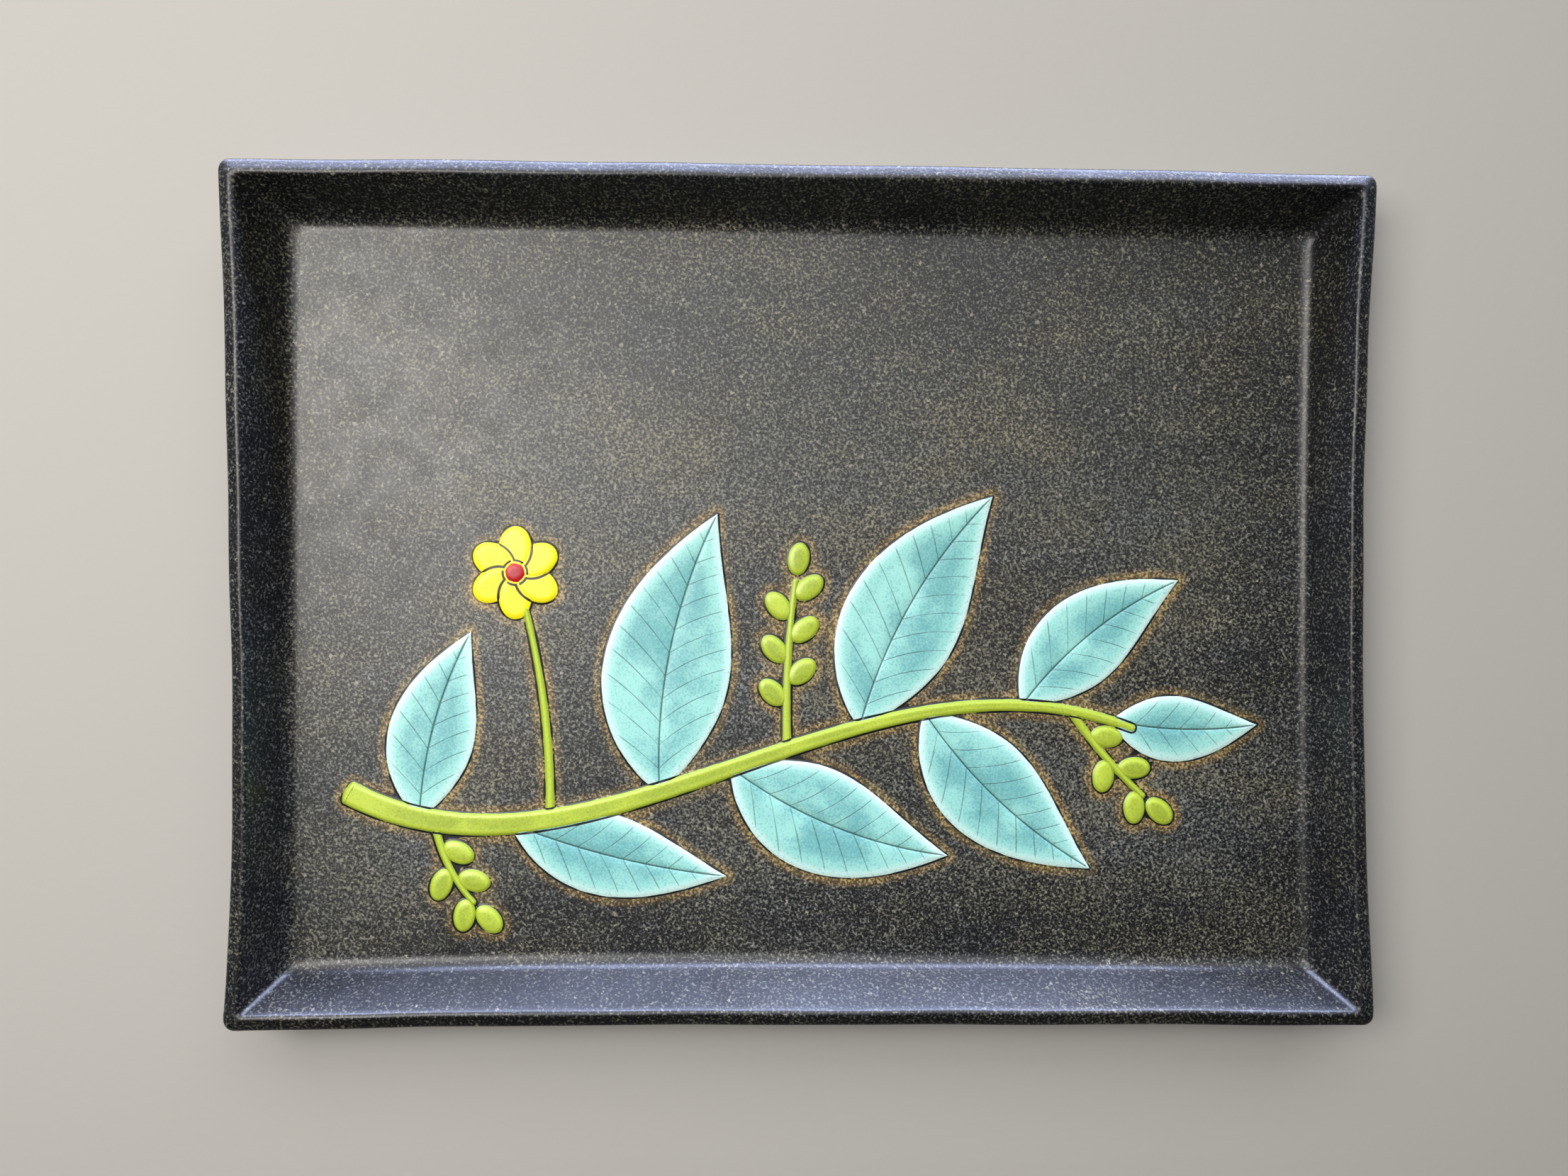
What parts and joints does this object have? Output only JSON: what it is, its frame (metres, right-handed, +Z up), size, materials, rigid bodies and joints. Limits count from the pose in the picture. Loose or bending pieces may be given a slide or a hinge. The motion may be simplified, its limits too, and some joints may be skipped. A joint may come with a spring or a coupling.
{
  "type": "serving tray",
  "caption": "Rectangular stoneware serving tray with leaning walls, a flared bowed rim and a leafy branch in low relief on its floor.",
  "frame": {"origin": "Middle of the flat base, where the tray rests.", "axes": "+X along the width of the tray, +Y across it from the near side to the far side, +Z up out of its floor."},
  "size_m": [0.4016, 0.2988, 0.0269],
  "materials": {
    "dark_glaze": "near-black satin glaze with fine tan speckle",
    "turquoise_glaze": "mottled turquoise glaze with dark incised lines",
    "lime_glaze": "lime green glaze, yellower on its high places",
    "yellow_glaze": "yellow glaze",
    "red_glaze": "red glaze"
  },
  "bodies": {
    "root": {"tray": "dark_glaze"}
  },
  "joints": []
}
